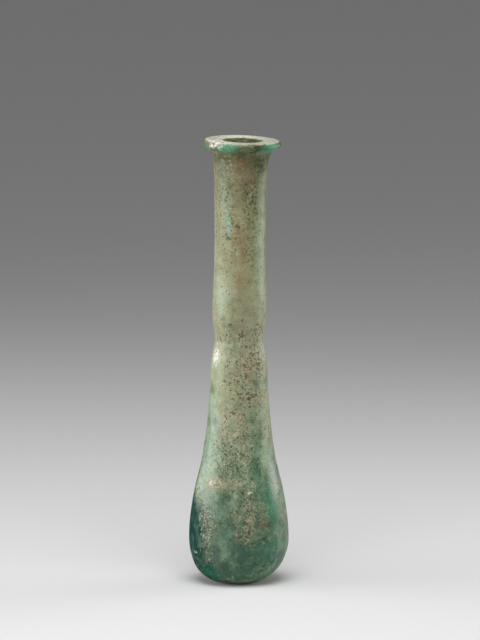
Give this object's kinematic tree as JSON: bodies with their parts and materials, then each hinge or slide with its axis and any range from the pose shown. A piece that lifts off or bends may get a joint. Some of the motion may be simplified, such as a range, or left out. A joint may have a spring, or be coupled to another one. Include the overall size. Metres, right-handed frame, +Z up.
{
  "type": "glass unguentarium",
  "caption": "Slim hollow blown-glass perfume flask with a pear-shaped body, pinched waist, long tubular neck and a broad folded rim.",
  "frame": {"origin": "on the surface that the flask stands on, under the centre of the belly", "axes": "+Z up along the flask from foot to rim; the neck bends slightly towards +X and the foot is slightly towards -X; -Y is the front"},
  "size_m": [0.0272, 0.0272, 0.1198],
  "materials": {
    "weathered_glass": "blue-green blown glass under an olive and cream weathering crust, semi-gloss where the glass is clean"
  },
  "bodies": {
    "root": {"glass_flask": "weathered_glass"}
  },
  "joints": []
}
